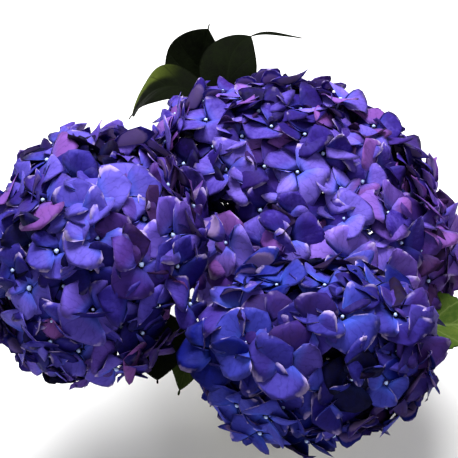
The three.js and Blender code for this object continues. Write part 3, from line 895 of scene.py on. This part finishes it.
# The pot: one closed outline of radius and height turned round the axis, with a foot ring under it,
# faint throwing rings on the outside, a rounded lip and an inner wall one wall's thickness in.
def makeVase():
    outer = outlineThrough(vase["outline"], vase["steps"])
    wall = vase["wall"]
    rings = vase["throwing"] * np.sin(outer[:, 1] * 2100) * smooth(outer[:, 1], 0.004, 0.012)
    outer[:, 0] -= np.abs(rings) * smooth(outer[:, 1], vase["height"], vase["height"] - 0.012)
    angle = np.linspace(0, math.pi, 12)[1:-1]
    lipMiddle = outer[-1, 0] - wall / 2
    lip = np.stack([lipMiddle + np.cos(angle) * wall / 2, outer[-1, 1] + np.sin(angle) * wall / 2], -1)
    cove, hub, edge = vase["cove"], vase["hub"], vase["footEdge"]
    inner = outer[outer[:, 1] > vase["floor"] + cove][::-1] - np.array([wall, 0])
    quarter = np.linspace(0, math.pi / 2, 7)
    bottom = np.array([inner[-1, 0], vase["floor"]])
    well = bottom + cove * np.stack([np.cos(quarter) - 1, 1 - np.sin(quarter)], -1)
    floorLine = np.stack([np.linspace(well[-1, 0], hub, 8)[1:], np.full(7, vase["floor"])], -1)
    foot, rise = vase["outline"][0][0], vase["baseRise"]
    ringInside = foot - vase["footWidth"]
    under = np.array([
        [hub, rise], [ringInside - 0.001, rise], [ringInside, edge], [ringInside + 2 * edge, 0],
        [foot - 3 * edge, 0], [foot - edge, edge],
    ])
    profile = np.concatenate([under, outer[1:], lip, inner[1:], well[1:], floorLine])
    rows, columns = len(profile), vase["segments"]
    turn = fullTurn(columns)
    r, z = profile[:, 0, None], profile[:, 1, None]
    points = np.stack(np.broadcast_arrays(r * np.cos(turn), r * np.sin(turn), z), -1).reshape(-1, 3)
    points = np.concatenate([points, [[0, 0, rise], [0, 0, vase["floor"]]]])
    # the mask holds bare clay on and under the foot, and glaze pooled just above it
    order = np.arange(rows)
    outside = len(under) + len(outer)
    bare = np.where(order < len(under), 1.0, 0.0) + np.where((order < outside) & (z[:, 0] < 0.0035), 0.8, 0)
    pooled = np.where(order < outside, np.exp(-(((z[:, 0] - 0.006) / 0.0035) ** 2)), 0)
    values = np.stack([np.clip(bare, 0, 1), pooled * 0.8, np.zeros(rows), np.zeros(rows)], -1)
    mask = np.concatenate([np.repeat(values, columns, axis=0), values[:1], values[-1:]])
    shape = Shape()
    shape.add(points, gridFaces(rows, columns), endFaces(rows, columns), mask)
    piece = shape.build("pot", [glazeMaterial()])
    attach(piece, "root")
    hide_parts("vase")
    print("vase ready")


makeVase()
stalks = makeStems()
foliage = makeLeaves()
obstacles = np.concatenate([*foliage, *[route[::3] for route in stalks]])


# True where a floret stands free: not deep in a bloom that comes before it, nor on a leaf, stem or rim.
def standsFree(name, places):
    free = np.ones(len(places["length"]), bool)
    for other, bloom in blooms.items():
        if other == name:
            break
        free &= depthIn(bloom, places["point"]) > floret["nestle"]
    gap = np.linalg.norm(places["point"][:, None] - obstacles[None], axis=2).min(1)
    x, y, z = places["point"].T
    rimGap = np.hypot(np.hypot(x, y) - vase["neckRadius"], z - vase["height"])
    return free & (gap > floret["clearOfLeaf"]) & (rimGap > floret["clearOfRim"])


def takeSome(places, chosen):
    return {key: value[chosen] if np.ndim(value) else value for key, value in places.items()}


# sepals: deep, middle and light tones of each bloom, and what all share: painted shadow, a blue glow by
# the bead, pale rims that are partly a painted highlight, pink touches
sepalTones = {
    "left": [(0.0040, 0.0022, 0.054), (0.016, 0.010, 0.185), (0.100, 0.075, 0.47)],
    "front": [(0.0014, 0.0020, 0.052), (0.0040, 0.0068, 0.155), (0.048, 0.052, 0.39)],
    "back": [(0.0088, 0.0032, 0.060), (0.030, 0.014, 0.215), (0.200, 0.140, 0.68)],
}
sepalFinish = {
    # the rim colour is a pale edge, partly the sepal's own and partly a painted highlight, laid on in noise
    # patches of the scale given below
    "shadow": (0.0010, 0.0008, 0.0070), "rim": (0.44, 0.34, 0.66), "under": (0.30, 0.20, 0.46),
    "glow": (0.045, 0.10, 0.62), "pink": (0.23, 0.075, 0.34),
    "roughness": 0.54, "speckle": 90.0, "rimHighlightScale": 75.0, "veinRays": 11.0, "bump": 0.25,
}


def sepalMaterial(name):
    deep, middle, light = sepalTones[name]
    material, tree, shader = newMaterial("sepal_" + name, **{"Specular IOR Level": 0.07})
    rim, run, tone, pink = maskSockets(tree)
    place = objectPlace(tree)
    patches = mottled(place, sepalFinish["speckle"], 5.0)
    fan = useGroup(tree, fanVeins, Vector=surfacePlace(tree), Rays=sepalFinish["veinRays"], Sharpness=4.0)
    lines = fan["Lines"]
    level = plus(tone, times(minus(patches, 0.5), 0.6))
    body = blendOver(level, -0.05, 0.22, sepalFinish["shadow"], deep)
    body = blendOver(level, 0.15, 0.52, body, middle)
    body = blendOver(level, 0.45, 1.05, body, light)
    body = mixColour(times(pink, 0.75), body, sepalFinish["pink"])
    body = mixColour(times(lines, 0.3), body, deep)
    nearBead = times(rangeNode(run, 0.38, 0.03), rangeNode(tone, 0.3, 0.9, 0.08, 0.75))
    body = mixColour(nearBead, body, sepalFinish["glow"])
    lowSide = times(rangeNode(rim, 0.45, 0.1), rangeNode(tone, 0.1, 0.4))
    body = mixColour(lowSide, body, sepalFinish["under"])
    # pale rims show only here and there, in noise patches along the side edges and not on the darkest ones:
    # partly the sepal's own paler edge, partly a painted highlight
    rimHighlightPatches = rangeNode(mottled(place, sepalFinish["rimHighlightScale"], 2.0), 0.53, 0.6, 0.04, 0.9)
    edge = times(rangeNode(rim, 0.78, 0.96), times(rimHighlightPatches, rangeNode(tone, 0.1, 0.5)))
    body = mixColour(edge, body, sepalFinish["rim"])
    rough = rangeNode(patches, 0.3, 0.7, 0.72, sepalFinish["roughness"])
    height = minus(patches, times(lines, 0.5))
    dress(shader, body, rough, height, sepalFinish["bump"], 0.0006)
    return material


def beadMaterial():
    material, tree, shader = newMaterial("bead", **{"Specular IOR Level": 0.5})
    grain = mottled(objectPlace(tree), 900.0, 3.0)
    pale = blendOver(grain, 0.3, 0.7, (0.30, 0.45, 0.95), (0.62, 0.74, 1.0))
    body = blendOver(maskSockets(tree)[0], 0.05, 0.5, (0.08, 0.13, 0.62), pale)
    dress(shader, body, rangeNode(grain, 0.3, 0.7, 0.35, 0.55))
    return material


def pedicelMaterial():
    material, tree, shader = newMaterial("pedicel", **{"Specular IOR Level": 0.25})
    patches = mottled(objectPlace(tree), 260.0, 4.0)
    low = blendOver(patches, 0.3, 0.7, (0.030, 0.050, 0.018), (0.060, 0.085, 0.030))
    body = blendOver(maskSockets(tree)[1], 0.3, 1.0, low, (0.045, 0.035, 0.16))
    dress(shader, body, rangeNode(patches, 0.3, 0.7, 0.55, 0.75))
    return material


# The knuckles that the florets hang on, as the CAD has them: one at the top and the rest in a ring.
def knucklePlaces(bloom):
    polar = np.radians(np.array([0.0] + [ray["sideAngle"]] * ray["sideCount"]))
    around = np.concatenate([[0], fullTurn(ray["sideCount"])])
    local, outer, _ = onOutline(bloom, polar, around, ray["endDepth"])
    receptacle = receptacleOf(bloom)
    return local, receptacle, receptacle + (outer - receptacle) * ray["knuckleShare"]


# A ray's stalk from its gap at the receptacle to its knuckle, and the knuckle as a ball on its end.
def addRay(shape, receptacle, knuckle):
    rows = ray["rows"]
    way = unit(knuckle - receptacle)
    start = receptacle + way * ray["startGap"]
    s = np.linspace(0, 1, rows)
    swell = 1 + 0.25 * np.cos(s * 2 * math.pi)
    addTube(shape, start + (knuckle - start) * s[:, None], ray["radius"] * swell, ray["sides"],
            (0, 0.15, 0.5, 0), 2)
    ball = knuckle + way * np.linspace(-1, 1, rows)[:, None] * ray["knuckle"]
    bulge = ray["knuckle"] * np.sqrt(1 - np.linspace(-0.97, 0.97, rows) ** 2)
    addTube(shape, ball, bulge, ray["sides"], (0, 0.1, 0.4, 0), 2)


def makeBlooms():
    shared = [beadMaterial(), pedicelMaterial()]
    for name, bloom in blooms.items():
        places = layFlorets(bloom)
        places = takeSome(places, standsFree(name, places))
        ends, receptacle, knuckles = knucklePlaces(bloom)
        owner = np.argmax(places["unit"] @ ends.T, axis=1)
        sepals = sepalMaterial(name)
        for k, knuckle in enumerate(knuckles):
            mine = takeSome(places, owner == k)
            shape = Shape()
            addSepals(shape, mine)
            addBeads(shape, mine)
            addPedicels(shape, mine, knuckle)
            addRay(shape, receptacle, knuckle)
            piece = shape.build(f"florets_{name}_{k + 1}", [sepals, *shared])
            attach(piece, "root")
            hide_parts(f"ray_{name}_{k + 1}")
        print("bloom", name, "with", len(places["length"]), "florets")


makeBlooms()


# light and floor
studio = {
    "floor": 0.86, "floorReach": 6.0, "sky": 0.50,
    "lamps": [
        {"name": "overhead", "at": (-0.15, 0.75, 1.55), "size": 0.8, "power": 54.0},
        {"name": "front_fill", "at": (0.5, -1.5, 1.1), "size": 1.4, "power": 3.0},
    ],
}


def makeStudio():
    mesh = bpy.data.meshes.new("floor")
    reach, level = studio["floorReach"], studio["floor"]
    corners = [(-reach, -reach, 0), (reach, -reach, 0), (reach, reach, 0), (-reach, reach, 0)]
    mesh.from_pydata(corners, [], [(0, 1, 2, 3)])
    floor = bpy.data.objects.new("floor", mesh)
    bpy.context.collection.objects.link(floor)
    colour = (level, level, level * 0.99, 1.0)
    mesh.materials.append(newMaterial("floor", **{"Base Color": colour, "Roughness": 0.9})[0])
    world = bpy.data.worlds.new("studio")
    world.use_nodes = True
    background = world.node_tree.nodes["Background"]
    background.inputs["Color"].default_value = (1.0, 1.0, 1.0, 1.0)
    background.inputs["Strength"].default_value = studio["sky"]
    bpy.context.scene.world = world
    for lamp in studio["lamps"]:
        light = bpy.data.lights.new(lamp["name"], "AREA")
        light.energy = lamp["power"]
        light.size = lamp["size"]
        thing = bpy.data.objects.new(lamp["name"], light)
        bpy.context.collection.objects.link(thing)
        thing.location = lamp["at"]
        aim = Vector(view["target"]) - Vector(lamp["at"])
        thing.rotation_euler = aim.to_track_quat("-Z", "Y").to_euler()
    bpy.context.scene.view_settings.view_transform = "Standard"


makeStudio()
print("studio ready")
